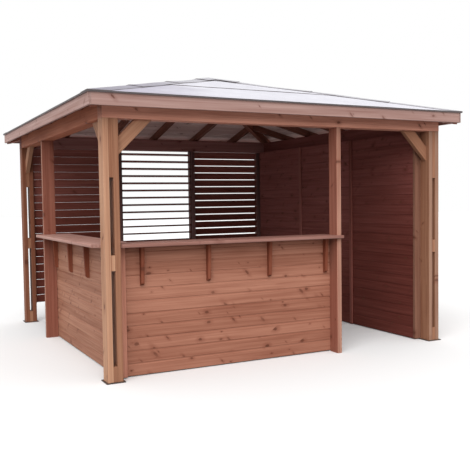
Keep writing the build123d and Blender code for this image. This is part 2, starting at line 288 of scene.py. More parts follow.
class Value:
    """A socket of a shader that can be used in sums."""

    def __init__(self, shader, socket):
        self.shader = shader
        self.socket = socket

    def math(self, operation, *others):
        sockets = dict(enumerate((self, *others)))
        return self.shader.node("ShaderNodeMath", {"operation": operation}, sockets)

    def from_left(self, operation, other):
        return self.shader.node("ShaderNodeMath", {"operation": operation}, {0: other, 1: self})

    def __add__(self, other):
        return self.math("ADD", other)

    def __sub__(self, other):
        return self.math("SUBTRACT", other)

    def __rsub__(self, other):
        return self.from_left("SUBTRACT", other)

    def __mul__(self, other):
        return self.math("MULTIPLY", other)

    def __truediv__(self, other):
        return self.math("DIVIDE", other)

    def __pow__(self, other):
        return self.math("POWER", other)

    def __gt__(self, other):
        return self.math("GREATER_THAN", other)

    __radd__ = __add__
    __rmul__ = __mul__


class Shader:
    """A node tree that is filled from Python."""

    def __init__(self, tree):
        self.tree = tree
        tree.nodes.clear()

    def node(self, kind, settings=None, sockets=None, out=0):
        """Add a node: settings first, then the values and links of its sockets."""
        made = self.tree.nodes.new(kind)
        for name, value in (settings or {}).items():
            setattr(made, name, value)
        for name, value in (sockets or {}).items():
            if isinstance(value, Value):
                self.tree.links.new(value.socket, made.inputs[name])
            else:
                made.inputs[name].default_value = value
        return Value(self, made.outputs[out]) if made.outputs else None

    def siblings(self, value, *names):
        """Other outputs of the node that a value comes from."""
        return [Value(self, value.socket.node.outputs[name]) for name in names]

    def attribute(self, name, out="Fac"):
        """What a piece's own mesh says."""
        return self.node("ShaderNodeAttribute", {"attribute_name": name}, out=out)

    def parts(self, vector):
        """The three numbers of a vector."""
        x = self.node("ShaderNodeSeparateXYZ", sockets={0: vector})
        return [x, *self.siblings(x, 1, 2)]

    def vector(self, x, y, z):
        return self.node("ShaderNodeCombineXYZ", sockets={0: x, 1: y, 2: z})

    def noise(self, place, scale=1.0, detail=2.0, roughness=0.5):
        sockets = {"Vector": place, "Scale": scale, "Detail": detail, "Roughness": roughness}
        return self.node("ShaderNodeTexNoise", sockets=sockets)

    def ramp(self, value, start, end):
        """A smooth step from 0 at start to 1 at end."""
        sockets = {"Value": value, "From Min": start, "From Max": end}
        return self.node("ShaderNodeMapRange", {"interpolation_type": "SMOOTHSTEP"}, sockets)

    def mix(self, factor, first, second, blend="MIX"):
        """From the first colour to the second, or both blended."""
        settings = {"data_type": "RGBA", "blend_type": blend, "clamp_result": False}
        return self.node("ShaderNodeMix", settings, {0: factor, 6: first, 7: second}, out=2)

    def scaled(self, tint, factor):
        """A colour made lighter or darker."""
        return self.node("ShaderNodeVectorMath", {"operation": "SCALE"}, {0: tint, "Scale": factor})

    def surface(self, base, roughness, height, depth, **constants):
        """Principled surface with a bump, joined to the output."""
        relief = {"Height": height, "Distance": depth, "Strength": BUMP}
        bump = self.node("ShaderNodeBump", sockets=relief)
        sockets = {"Base Color": base, "Roughness": roughness, "Normal": bump, **constants}
        self.output(self.node("ShaderNodeBsdfPrincipled", sockets=sockets))

    def output(self, surface, kind="ShaderNodeOutputMaterial"):
        self.node(kind, sockets={"Surface": surface})


def rgba(tint, factor=1.0):
    """A colour as four numbers, made lighter or darker."""
    return (*(min(1.0, part * factor) for part in tint), 1.0)


def tinted(tint, shares):
    """A colour with shares of its red, green and blue."""
    return rgba([part * kept for part, kept in zip(tint, shares)])


def graded(limits, weight):
    """The least of a value, and what a weight of 1 adds to it."""
    least, added = limits
    return least + weight * added


def new_material(name):
    material = bpy.data.materials.new(name)
    material.use_nodes = True
    return material, Shader(material.node_tree)


def knot_layer(shader, along, across, cells, filled):
    """Knots spread over cells: the knot itself, the bent grain round it and its strength."""
    place = {"Vector": shader.vector(along, across, 0), "Scale": cells}
    distance = shader.node("ShaderNodeTexVoronoi", {"voronoi_dimensions": "2D"}, place, out="Distance")
    pick, size, weight = shader.parts(shader.siblings(distance, "Color")[0])
    least, added = KNOT_SIZE
    near = distance / (least + added * size * size)
    there = pick > 1 - filled
    return shader.ramp(near, *KNOT_EDGE) * there, shader.ramp(near, *HALO_EDGE) * there, weight


def timber_finish(name, tint, knot_tint, knots=0.3, spread=0.3, rough=0.52, narrow_tint=None):
    """Stained softwood that reads each piece's own grain: rings, streaks, blotches and knots.

    Spread sets dark and pale pieces apart, and a narrow tint, where given, is the tint of a piece's
    narrow sides."""
    material, shader = new_material(name)
    grain = shader.attribute("grain", "Vector")
    along, across, deep = shader.parts(grain)

    def drawn_out(lengthwise, crosswise, detail=2.0):
        """Noise drawn out along the grain, by its waves in a metre."""
        place = shader.vector(along * lengthwise, across * crosswise, deep * crosswise)
        return shader.noise(place, detail=detail)

    # Knots, one in some of the cells: round ones, and slanting ones cut along their own branch
    wobble = (shader.noise(grain, scale=85.0) - MIDDLE) * WOBBLE
    core, halo, weight = knot_layer(shader, along * ROUND_DRAWN + wobble, across + wobble,
                                    cells=9.0, filled=knots * 0.45)
    branch = (along - across) * SLANT_DRAWN[0] + SLANT_SHIFT[0]
    slant = (along + across + wobble) * SLANT_DRAWN[1] + SLANT_SHIFT[1]
    dash, dash_halo, _ = knot_layer(shader, branch, slant, cells=8.0, filled=knots * 0.6)
    core = core.math("MAXIMUM", dash * SLANT_STRENGTH)
    halo = halo.math("MAXIMUM", dash_halo * SLANT_STRENGTH)

    # Growth rings round the middle of the log, bent by a slow wander and by the knots
    wander = drawn_out(0.8, 6) - MIDDLE
    ring = (across * across + deep * deep).math("SQRT") + wander * RING_WANDER + halo * RING_BEND
    late = (ring / RING).math("FRACT") ** RING_TURN
    fibre = drawn_out(2.5, 170, detail=3.0)
    streak = drawn_out(1.1, 48, detail=3.0)
    blotch = drawn_out(1.3, 9)

    # Stain, from the tint of early wood to that of late wood, darker or paler by piece
    depth = PLAIN_STAIN + late * LATE_STAIN
    for pattern, part in ((fibre, FIBRE_STAIN), (streak, STREAK_STAIN), (blotch, BLOTCH_STAIN)):
        depth = depth + (pattern - MIDDLE) * part
    depth = depth.math("MAXIMUM", 0).math("MINIMUM", 1)
    body = shader.mix(depth, rgba(tint, EARLY_WOOD), tinted(tint, LATE_WOOD))
    low = (*(1 - spread * part for part in DARKEST), 1)
    high = (*(1 + spread * part for part in PALEST), 1)
    body = shader.mix(1.0, body, shader.mix(shader.attribute("tone"), low, high), "MULTIPLY")
    # Narrow sides in a tint of their own: painted light on the plank posts' lit front faces
    if narrow_tint:
        paler = (*(edge / face for edge, face in zip(narrow_tint, tint)), 1)
        retinted_narrow = shader.mix(1.0, body, paler, "MULTIPLY")
        body = shader.mix(shader.attribute("narrow"), body, retinted_narrow)
    body = shader.mix(halo * graded(HALO_STRENGTH, weight), body, tinted(tint, KNOT_HALO))
    body = shader.mix(core * graded(KNOT_STRENGTH, weight), body, rgba(knot_tint))
    body = shader.scaled(body, 1 - shader.attribute("end") * graded(END_GRAIN, late))

    roughness = rough + fibre * FIBRE_ROUGH - core * KNOT_SMOOTH
    height = late * LATE_HEIGHT + fibre * FIBRE_HEIGHT - core * KNOT_HOLLOW
    shader.surface(body, roughness, height, GRAIN_RELIEF, **{"Specular IOR Level": TIMBER_SHEEN})
    return material


def felt_finish(name, tint, edge_tint):
    """Mineral faced felt: granules, pale and grey patches, greyed to the left as a painted dim
    reflection, dark cut edges.
    """
    material, shader = new_material(name)
    place = shader.node("ShaderNodeTexCoord", out="Object")
    granule = shader.noise(place, scale=420.0, detail=2.0, roughness=0.7)
    patch = shader.noise(place, scale=1.1, detail=8.0, roughness=0.62)
    stain = shader.noise(place, scale=9.0, detail=6.0, roughness=0.7)
    shade = PLAIN_SHADE + granule * GRANULE_SHADE
    shade = shade + (patch - MIDDLE) * PATCH_SHADE + (stain - MIDDLE) * STAIN_SHADE
    # Painted dim reflection: the felt greys towards the left
    undimmed = shader.ramp(shader.parts(place)[0] + (patch - MIDDLE) * DIM_REFLECTION_EDGE, *DIM_REFLECTION_PLACE)
    body = shader.scaled(shader.mix(undimmed, tinted(tint, DIM_REFLECTION), rgba(tint)), shade)
    body = shader.mix(shader.attribute("edge"), body, rgba(edge_tint))
    roughness = FELT_ROUGH + granule * GRANULE_ROUGH - (patch - MIDDLE) * PATCH_SMOOTH
    shader.surface(body, roughness, granule, FELT_RELIEF)
    return material


def steel_finish(name, tint, rust_tint):
    """Dark plate with rust that spreads in patches."""
    material, shader = new_material(name)
    place = shader.node("ShaderNodeTexCoord", out="Object")
    patch = shader.noise(place, scale=38.0, detail=5.0, roughness=0.65)
    grit = shader.noise(place, scale=600.0, detail=2.0)
    rust = shader.ramp(patch, *RUST_EDGE)
    shade = graded(STEEL_SHADE, grit)
    body = shader.scaled(shader.mix(rust, rgba(tint), rgba(rust_tint)), shade)
    roughness = graded(STEEL_ROUGH, rust)
    metal = STEEL_METAL - rust * STEEL_METAL
    shader.surface(body, roughness, grit * GRIT_HEIGHT + rust, STEEL_RELIEF, Metallic=metal)
    return material


# Meshes


def islands(mesh):
    """The separate closed pieces of a mesh, each as a list of its corners."""
    seen = set()
    for start in mesh.verts:
        if start in seen:
            continue
        seen.add(start)
        group = [start]
        for vert in group:
            for edge in vert.link_edges:
                other = edge.other_vert(vert)
                if other not in seen:
                    seen.add(other)
                    group.append(other)
        yield group


def node_copy(name):
    """A node of the frame with its triangles merged into flat faces."""
    copy = bmesh.new()
    copy.from_mesh(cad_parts[name].data)
    bmesh.ops.remove_doubles(copy, verts=copy.verts, dist=MERGE)
    bmesh.ops.dissolve_limit(copy, angle_limit=FLAT, use_dissolve_boundaries=False, verts=copy.verts,
                             edges=copy.edges, delimit=set())
    return copy


def ease(mesh, arris):
    """Round the sharp edges of a mesh."""
    edges = [edge for edge in mesh.edges if edge.is_manifold and edge.calc_face_angle() > SHARP]
    bmesh.ops.bevel(mesh, geom=edges, offset=arris, offset_type="OFFSET", segments=2, profile=0.5,
                    affect="EDGES", clamp_overlap=True, material=-1)
    bmesh.ops.dissolve_degenerate(mesh, dist=MERGE, edges=mesh.edges)


def between(source, direction, start, end):
    """The part of a closed mesh between two distances along a direction."""
    part = source.copy()
    for distance, outward in ((end, direction), (start, -direction)):
        geometry = [*part.verts, *part.edges, *part.faces]
        cut = bmesh.ops.bisect_plane(part, geom=geometry, dist=MERGE, plane_co=direction * distance,
                                     plane_no=outward, clear_outer=True)
        edges = [item for item in cut["geom_cut"] if isinstance(item, bmesh.types.BMEdge)]
        bmesh.ops.holes_fill(part, edges=edges, sides=0)
    return part


def reach(mesh, direction):
    """Least and greatest distance of a mesh along a direction."""
    distances = [vert.co.dot(direction) for vert in mesh.verts]
    return min(distances), max(distances)


class Stock:
    """Pieces of one finish that become one object, each piece with a grain of its own."""

    def __init__(self, name, along=None, tones=(), tone_range=None, heights=None):
        self.name = name
        self.along = along
        self.tones = iter(tones)
        self.tone_range = tone_range or (0, 1)
        self.heights = heights
        self.chance = random.Random(name)
        self.mesh = bmesh.new()
        self.stands_for = []

    def take(self, part):
        """Move the faces of another mesh in."""
        carrier = bpy.data.meshes.new(self.name)
        part.to_mesh(carrier)
        part.free()
        self.mesh.from_mesh(carrier)
        bpy.data.meshes.remove(carrier)

    def node(self, name, arris=0.0):
        """A node of the frame, with its sharp edges rounded."""
        copy = node_copy(name)
        if arris:
            ease(copy, arris)
        self.take(copy)
        self.stands_for.append(name)

    def planks(self, name, direction, width, saw_cut, arris):
        """A node of the frame sawn into planks of about one width across a direction."""
        copy = node_copy(name)
        low, high = reach(copy, direction)
        count = max(1, round((high - low) / width))
        step = (high - low) / count
        for place in range(count):
            start = low + place * step
            first = start + (saw_cut / 2 if place else -MERGE)
            last = start + step - (saw_cut / 2 if place < count - 1 else -MERGE)
            plank = between(copy, direction, first, last)
            ease(plank, arris)
            self.take(plank)
        copy.free()
        self.stands_for.append(name)

    def uprights(self, name, direction, start, end, arris):
        """The uprights of a node of the frame that stand between two distances along a direction."""
        copy = node_copy(name)
        part = between(copy, direction, start - MERGE, end + MERGE)
        copy.free()
        ease(part, arris)
        self.take(part)

    def box(self, low, high, arris):
        """A plain timber between two corners."""
        part = bmesh.new()
        bmesh.ops.create_cube(part, size=1)
        bmesh.ops.scale(part, vec=high - low, verts=part.verts)
        bmesh.ops.translate(part, vec=(low + high) / 2, verts=part.verts)
        ease(part, arris)
        self.take(part)

    def moulding(self, profile, origin, outward, run):
        """A board along a run, with a section given as distances outward and upward."""
        part = bmesh.new()
        corners = [part.verts.new(origin + outward * out + UP * rise) for out, rise in profile]
        section = bmesh.ops.contextual_create(part, geom=corners)["faces"]
        pushed = bmesh.ops.extrude_face_region(part, geom=section)["geom"]
        verts = [item for item in pushed if isinstance(item, bmesh.types.BMVert)]
        bmesh.ops.translate(part, vec=run, verts=verts)
        bmesh.ops.recalc_face_normals(part, faces=part.faces)
        self.take(part)

    def cut_grain(self, group, grain, tone, end, narrow):
        """Lay a grain along the longest edge of a piece, as if it was sawn from a log of its own."""
        along = self.along
        if along is None:
            edges = {edge for vert in group for edge in vert.link_edges}
            longest = max(edges, key=lambda edge: (round(edge.calc_length(), 5), -edge.index))
            along = (longest.verts[1].co - longest.verts[0].co).normalized()
        side = along.cross(RIGHT if abs(along.z) > STEEP else UP).normalized()
        thin = side.cross(along)
        centre = sum((vert.co for vert in group), Vector()) / len(group)
        spans = []
        for axis in (side, thin):
            distances = [(vert.co - centre).dot(axis) for vert in group]
            spans.append(max(distances) - min(distances))
        if spans[1] > spans[0]:
            side, thin = thin, side
        start = self.chance.uniform(0, LOG_LENGTH)
        pith_across = self.chance.uniform(-PITH_ACROSS, PITH_ACROSS)
        pith_deep = self.chance.uniform(*PITH_DEEP) * self.chance.choice((-1, 1))
        drawn = self.chance.uniform(*self.tone_range)
        shade = next(self.tones, drawn)
        # Where heights are given, lower pieces take darker tones: painted shade
        if self.heights:
            bottom, top = self.heights
            darkest, palest = self.tone_range
            level = darkest + (palest - darkest) * (centre.z - bottom) / (top - bottom)
            shade = drawn + (level - drawn) * RISING
        for vert in group:
            place = vert.co - centre
            vert[grain] = (place.dot(along) + start, place.dot(side) + pith_across,
                           place.dot(thin) + pith_deep)
            vert[tone] = shade
            for face in vert.link_faces:
                face[end] = abs(face.normal.dot(along)) > ALIGNED
                face[narrow] = abs(face.normal.dot(side)) > ALIGNED

    def finish(self, material, slot, *nodes):
        """Make the object, lay the grain and tie it to the frame."""
        self.mesh.edges.index_update()
        self.mesh.normal_update()
        grain = self.mesh.verts.layers.float_vector.new("grain")
        tone = self.mesh.verts.layers.float.new("tone")
        end = self.mesh.faces.layers.float.new("end")
        narrow = self.mesh.faces.layers.float.new("narrow")
        for group in islands(self.mesh):
            self.cut_grain(group, grain, tone, end, narrow)
        place_piece(self.mesh, self.name, material, slot, *self.stands_for, *nodes)


def place_piece(mesh, name, material, slot, *nodes):
    """Turn a mesh into a piece of the shelter that stands for nodes of the frame."""
    data = bpy.data.meshes.new(name)
    mesh.to_mesh(data)
    mesh.free()
    data.materials.append(material)
    piece = bpy.data.objects.new(name, data)
    bpy.context.scene.collection.objects.link(piece)
    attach(piece, BODY)
    if nodes:
        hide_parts(*nodes)


def node_piece(name, node, material, slot, arris=0.0, **grain):
    """One node of the frame as a piece of its own."""
    stock = Stock(name, **grain)
    stock.node(node, arris)
    stock.finish(material, slot)


def board_section(sizes, height):
    """Section of a cladding board: arris, flat face, cove and the strip that the next board laps."""
    thick, deep, arris = sizes.board_thickness, sizes.cove_depth, sizes.arris
    strip = height - sizes.cove_height
    turns = [math.radians(degrees) for degrees in COVE_TURN]
    cove = [(-deep * math.sin(turn), strip + deep * (1 - math.cos(turn))) for turn in turns]
    return [(-thick, 0), (-arris, 0), (0, arris), *cove, (-deep, height), (-thick, height)]


def clad(stock, sizes, low, high, outward, first):
    """Cover one upright face of a slab with level boards, with the height of the lowest one given."""
    run_axis = BACK if abs(outward.x) else RIGHT
    face = high if outward.dot(RIGHT + BACK) > 0 else low
    origin = Vector((face.x if abs(outward.x) else low.x, face.y if abs(outward.y) else low.y, 0))
    run = run_axis * (high - low).dot(run_axis)
    levels = [low.z, low.z + first]
    while high.z - levels[-1] > sizes.board_cover + MERGE:
        levels.append(levels[-1] + sizes.board_cover)
    for start, end in zip(levels, levels[1:] + [high.z]):
        stock.moulding(board_section(sizes, end - start), origin + UP * start, outward, run)


# Operators


def settings_of(context):
    """The three groups of settings."""
    shelter = context.scene.shelter
    return shelter.sizes, shelter.colours, shelter.stage


class SHELTER_OT_posts(Operator):
    """Corner posts, plank posts, spacers and knee braces"""

    bl_idname = "shelter.posts"
    bl_label = "Posts and Braces"

    def execute(self, context):
        sizes, colours, _ = settings_of(context)
        look = {"knots": 0.25, "spread": 0.55}
        finish = timber_finish("planed_post_timber", colours.post, colours.knot, **look)
        shaded = timber_finish("rear_post_timber", colours.rear_post, colours.knot, **look)
        weathered = timber_finish("weathered_post_timber", colours.post, colours.knot,
                                  narrow_tint=colours.weathered, **look)
        # The rear posts take the shaded tint and the lowest tones: painted shade
        corners = {"front_left": (finish, 0.95, 0.18), "front_right": (weathered, 0.15, 0.2),
                   "rear_left": (shaded, 0.05, 0), "rear_right": (shaded, 0.4, 0.3)}
        for corner, (stain, *tones) in corners.items():
            node_piece(f"{corner}_post_plies", f"{corner}_post", stain, "post_timber", tones=tones)
        arris = sizes.arris / 2
        node_piece("post_spacers", "post_spacer_blocks", finish, "post_timber", arris, along=UP)
        # Plank posts: broad faces darkened as painted shade, narrow front faces paler as painted light
        red = timber_finish("plank_post_timber", colours.red_post, colours.knot, knots=0.25,
                            narrow_tint=colours.lit_plank_edge)
        dark = timber_finish("mullion_timber", colours.mullion, colours.knot, knots=0.2)
        planks = {"front_mid_post": (red, 0.35), "left_mid_post": (red, 0),
                  "rear_mid_posts": (dark, 0.4)}
        for name, (stain, tone) in planks.items():
            node_piece(f"{name}_timber", name, stain, "post_timber", tones=(tone, tone))
        node_piece("knee_brace_timbers", "knee_braces", finish, "post_timber", arris)
        return {"FINISHED"}


class SHELTER_OT_beams(Operator):
    """Four beams on the posts"""

    bl_idname = "shelter.beams"
    bl_label = "Beams"

    def execute(self, context):
        _, colours, _ = settings_of(context)
        # Front beam palest as painted light, rear and right beams darker as painted shade
        beams = {"front": (colours.beam, 0.5, 1), "left": (colours.left_beam, 0.5, 0.2),
                 "rear": (colours.rear_beam, 0.3, 0.5), "right": (colours.shaded_lining, 0.3, 0.5)}
        for side, (tint, spread, tone) in beams.items():
            finish = timber_finish(f"{side}_beam_stain", tint, colours.knot, knots=0.3, spread=spread)
            node_piece(f"{side}_beam_timber", f"{side}_beam", finish, "beam_timber", tones=(tone,))
        return {"FINISHED"}


class SHELTER_OT_roof_frame(Operator):
    """Hips, rafters and the block at the peak"""

    bl_idname = "shelter.roof_frame"
    bl_label = "Roof Frame"

    def execute(self, context):
        sizes, colours, _ = settings_of(context)
        finish = timber_finish("rafter_timber", colours.rafter, colours.knot, knots=0.3)
        hips = timber_finish("hip_timber", colours.red_post, colours.knot, knots=0.3)
        timbers = {"hip_rafters": (None, hips), "rafters": (None, finish), "king_block": (UP, finish)}
        for name, (along, stain) in timbers.items():
            node_piece(f"{name}_timber", name, stain, "rafter_timber", sizes.arris, along=along)
        return {"FINISHED"}


class SHELTER_OT_roof_boards(Operator):
    """Boards on the rafters, level with the eaves"""

    bl_idname = "shelter.roof_boards"
    bl_label = "Roof Boards"

    def execute(self, context):
        sizes, colours, _ = settings_of(context)
        finish = timber_finish("pale_roof_board", colours.roof_board, colours.bracket, knots=0.2,
                               spread=0.16)
        for side, outward in SIDES.items():
            stock = Stock(f"{side}_roof_boards")
            stock.planks(f"{side}_roof_deck", outward, sizes.roof_board, sizes.saw_cut, sizes.arris / 2)
            stock.finish(finish, "roof_board")
        return {"FINISHED"}


class SHELTER_OT_felt(Operator):
    """Courses of felt on four slopes, the turned down eaves and the strips over the hips"""

    bl_idname = "shelter.felt"
    bl_label = "Roof Felt"

    def execute(self, context):
        sizes, colours, _ = settings_of(context)
        finish = felt_finish("mineral_felt", colours.felt, colours.felt_edge)
        for side, outward in SIDES.items():
            sheet = self.slope(sizes, side, outward)
            self.mark_edges(sheet)
            place_piece(sheet, f"{side}_felt_courses", finish, "roof_felt", f"{side}_roof_felt")
        strips = self.hip_strips(sizes)
        self.mark_edges(strips)
        finish = felt_finish("hip_felt", colours.hip_felt, colours.felt_edge)
        place_piece(strips, "hip_strips", finish, "roof_felt", "hip_caps")
        return {"FINISHED"}

    def hip_strips(self, sizes):
        """Lengths of felt up each hip, each over the one below, and a square piece over the peak."""
        stock = Stock("hips")
        whole = node_copy("hip_caps")
        corners = [(RIGHT * x + BACK * y).normalized() for x in (-1, 1) for y in (-1, 1)]
        peak = whole.copy()
        for corner in corners:
            end = reach(whole, corner)[1]
            inner = sizes.strip_peak - sizes.felt_lap
            count = math.ceil((end - inner) / sizes.strip_length)
            step = (end - inner) / count
            for place in range(count):
                start = inner + place * step
                lap = 0 if place == count - 1 else sizes.felt_lap
                strip = between(whole, corner, start, start + step + lap)
                self.grid(strip, sizes.felt_grid, (corner,))
                for vert in strip.verts:
                    outer = (vert.co.dot(corner) - start) / (step + lap)
                    vert.co.z += sizes.felt_wave + self.lap_rise(sizes, vert.co)
                    rise = max(0, outer * STRIP_RISE - (STRIP_RISE - 1))
                    vert.co.z += sizes.felt_lift * rise if lap else 0
                stock.take(strip)
            piece = between(peak, corner, -end, sizes.strip_peak)
            peak.free()
            peak = piece
        bmesh.ops.translate(peak, vec=UP * (2 * sizes.felt_lift + sizes.felt_wave), verts=peak.verts)
        stock.take(peak)
        whole.free()
        return stock.mesh

    def lap_rise(self, sizes, place):
        """Height of the felt courses over one another, measured from the eaves."""
        uphill = (CAD_BOX[1].x - max(abs(place.x), abs(place.y))) / math.cos(math.radians(ROOF_PITCH))
        course, above = divmod(uphill / sizes.felt_course, 1)
        before = max(0, above * COURSE_RISE - (COURSE_RISE - 1))
        after = max(0, 1 - above * LAP_FADE) if course else 0
        return sizes.felt_lift * max(before, after)

    def slope(self, sizes, side, outward):
        """All courses of one slope and its lip, in one mesh."""
        stock = Stock(side)
        whole = node_copy(f"{side}_roof_felt")
        low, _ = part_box(f"{side}_roof_felt")
        pitch = math.radians(ROOF_PITCH)
        uphill = (UP * math.sin(pitch) - outward * math.cos(pitch)).normalized()
        normal = (UP * math.cos(pitch) + outward * math.sin(pitch)).normalized()
        eave, peak = reach(whole, uphill)
        start = eave
        while start < peak - sizes.felt_lap:
            end = min(peak + MERGE, start + sizes.felt_course + sizes.felt_lap)
            course = between(whole, uphill, start - MERGE, end)
            self.grid(course, sizes.felt_grid, (uphill, outward.cross(UP)))
            lift = sizes.felt_lift if start > eave else 0
            for vert in course.verts:
                above = (vert.co.dot(uphill) - start) / sizes.felt_course
                vert.co += normal * lift * max(0, 1 - above * LAP_FADE)
            self.wave(course, sizes.felt_wave)
            stock.take(course)
            start += sizes.felt_course
        whole.free()
        self.lip(stock, sizes, outward, low.z)
        return stock.mesh

    def lip(self, stock, sizes, outward, level):
        """The felt's edge turned down over the fascia."""
        along = outward.cross(UP)
        half = CAD_BOX[1].x
        short = sizes.lip_thickness if abs(outward.x) else 0
        ends = [outward * out + along * hand * (half - short) for out, hand in
                ((half - sizes.lip_thickness, -1), (half, 1))]
        low = Vector(min(parts) for parts in zip(*ends)) + UP * (level - sizes.lip_drop)
        high = Vector(max(parts) for parts in zip(*ends)) + UP * (level + sizes.lip_thickness)
        stock.box(low, high, sizes.lip_thickness / 4)

    def grid(self, mesh, spacing, directions):
        """Cut a sheet into a grid so that it can bend."""
        for direction in directions:
            low, high = reach(mesh, direction)
            count = round((high - low) / spacing)
            for place in range(1, count):
                bmesh.ops.bisect_plane(mesh, geom=[*mesh.verts, *mesh.edges, *mesh.faces], dist=MERGE,
                                       plane_co=direction * (low + (high - low) * place / count),
                                       plane_no=direction)

    def wave(self, mesh, depth):
        """Lift the sheet here and there."""
        long, short = WAVES
        for vert in mesh.verts:
            flat = Vector((vert.co.x, vert.co.y, 0))
            vert.co.z += depth * (1 + noise.noise(flat * long) + noise.noise(flat * short) / 2)

    def mark_edges(self, mesh):
        """Cut edges show the dark inside of the felt."""
        edge = mesh.faces.layers.float.new("edge")
        for face in mesh.faces:
            upright = abs(face.normal.z) < CUT_EDGE
            face[edge] = upright
            face.smooth = not upright


class SHELTER_OT_fascias(Operator):
    """Fascia boards round the eaves"""

    bl_idname = "shelter.fascias"
    bl_label = "Fascias"

    def execute(self, context):
        _, colours, _ = settings_of(context)
        finish = timber_finish("fascia_timber", colours.fascia, colours.knot, knots=0.42, spread=0.2)
        for side in SIDES:
            node_piece(f"{side}_fascia_board", f"{side}_fascia", finish, "fascia_timber")
        return {"FINISHED"}


class SHELTER_OT_cladding(Operator):
    """Boards on both faces of the counters and of the closed side"""

    bl_idname = "shelter.cladding"
    bl_label = "Cladding"

    def execute(self, context):
        sizes, colours, _ = settings_of(context)
        look = {"knots": 0.6, "spread": 0.2}
        outside = timber_finish("cladding_board", colours.cladding, colours.knot, **look)
        paler = timber_finish("left_cladding_board", colours.lit_left_cladding, colours.knot, **look)
        inside = timber_finish("lining_board", colours.shaded_lining, colours.knot, knots=0.6, spread=0.72)
        studs = timber_finish("stud_timber", colours.post, colours.knot, knots=0.2, spread=0.2)
        slabs = {"front_counter": -BACK, "left_counter": -RIGHT, "right_wall_front": RIGHT,
                 "right_wall_middle": RIGHT, "right_wall_rear": RIGHT}
        for name, outward in slabs.items():
            low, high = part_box(name)
            first = sizes.board_cover
            if "wall" in name:
                first += (high.z - low.z) % sizes.board_cover
            shown = paler if name == "left_counter" else outside
            for face, direction, finish in (("outside", outward, shown), ("inside", -outward, inside)):
                tones = INNER_SHADE_TONES.get(name) if face == "inside" else None
                heights = (low.z, high.z) if tones else None
                stock = Stock(f"{name}_{face}_boards", tone_range=tones, heights=heights)
                clad(stock, sizes, low, high, direction, first)
                nodes = (name,) if face == "outside" else ()
                stock.finish(finish, "cladding_board", *nodes)
            skin = Vector(abs(part) for part in outward) * sizes.board_thickness
            core = Stock(f"{name}_studs", along=UP)
            core.box(low + skin, high - skin, sizes.arris / 2)
            core.finish(studs, "cladding_board")
        return {"FINISHED"}


class SHELTER_OT_bar(Operator):
    """Bar planks, brackets, battens and joint strips"""

    bl_idname = "shelter.bar"
    bl_label = "Bar and Trim"

    def execute(self, context):
        sizes, colours, _ = settings_of(context)
        for side, across, tint in (("front", BACK, colours.bar), ("left", RIGHT, colours.left_bar)):
            finish = timber_finish(f"{side}_bar_plank", tint, colours.knot, knots=0.14, spread=0.18,
                                   rough=0.45)
            low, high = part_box(f"{side}_bar_top")
            width = (high - low).dot(across) / 2
            stock = Stock(f"{side}_bar_planks")
            stock.planks(f"{side}_bar_top", across, width, sizes.saw_cut, sizes.arris / 2)
            stock.finish(finish, "bar_board")
        trim = timber_finish("bracket_timber", colours.bracket, colours.knot, knots=0.12)
        cover = timber_finish("joint_strip_timber", colours.strip, colours.knot, knots=0.12, spread=0.4)
        batten = timber_finish("batten_timber", colours.beam, colours.knot, knots=0.12)
        wall_end = timber_finish("end_stud_timber", colours.wall_end, colours.knot, knots=0.25)
        for name, stain in (("bar_brackets", trim), ("counter_battens", batten)):
            node_piece(f"{name}_timber", name, stain, "bracket_timber", sizes.arris, along=UP)
        low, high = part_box("right_wall_strips")
        strips = Stock("right_wall_joint_strips", along=UP, tones=(0, 1))
        strips.uprights("right_wall_strips", BACK, low.y + END_SPACE, high.y, sizes.arris)
        strips.finish(cover, "bracket_timber", "right_wall_strips")
        stud = Stock("right_wall_end_stud", along=UP)
        stud.uprights("right_wall_strips", BACK, low.y, low.y + END_SPACE, sizes.arris)
        stud.finish(wall_end, "bracket_timber")
        return {"FINISHED"}


class SHELTER_OT_louvres(Operator):
    """Three banks of blades and their stiles"""

    bl_idname = "shelter.louvres"
    bl_label = "Louvres"

    def execute(self, context):
        sizes, colours, _ = settings_of(context)
        finish = timber_finish("louvre_timber", colours.louvre, colours.knot, knots=0.18, spread=0.75)
        for bank in ("left", "middle", "right"):
            low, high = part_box(f"{bank}_louvres")
            # Lower blades take darker tones: painted shade
            node_piece(f"{bank}_louvre_blades", f"{bank}_louvres", finish, "louvre_timber",
                       along=RIGHT, heights=((low.z + high.z) / 2, high.z))
        dark = timber_finish("stile_timber", colours.mullion, colours.knot, knots=0.18)
        red = timber_finish("end_stile_timber", colours.red_post, colours.knot, knots=0.2)
        low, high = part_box("louvre_stiles")
        stiles = Stock("louvre_stile_timbers", along=UP)
        stiles.uprights("louvre_stiles", RIGHT, low.x + END_SPACE, high.x, sizes.arris)
        stiles.finish(dark, "louvre_timber", "louvre_stiles")
        end = Stock("louvre_end_stile", along=UP)
        end.uprights("louvre_stiles", RIGHT, low.x, low.x + END_SPACE, sizes.arris)
        end.finish(red, "louvre_timber")
        return {"FINISHED"}


class SHELTER_OT_plates(Operator):
    """Steel plates under the corner posts"""

    bl_idname = "shelter.plates"
    bl_label = "Base Plates"

    def execute(self, context):
        sizes, colours, _ = settings_of(context)
        finish = steel_finish("weathered_steel", colours.steel, colours.rust)
        plates = node_copy("post_base_plates")
        ease(plates, sizes.arris / 2)
        place_piece(plates, "base_plates", finish, "base_steel", "post_base_plates")
        return {"FINISHED"}


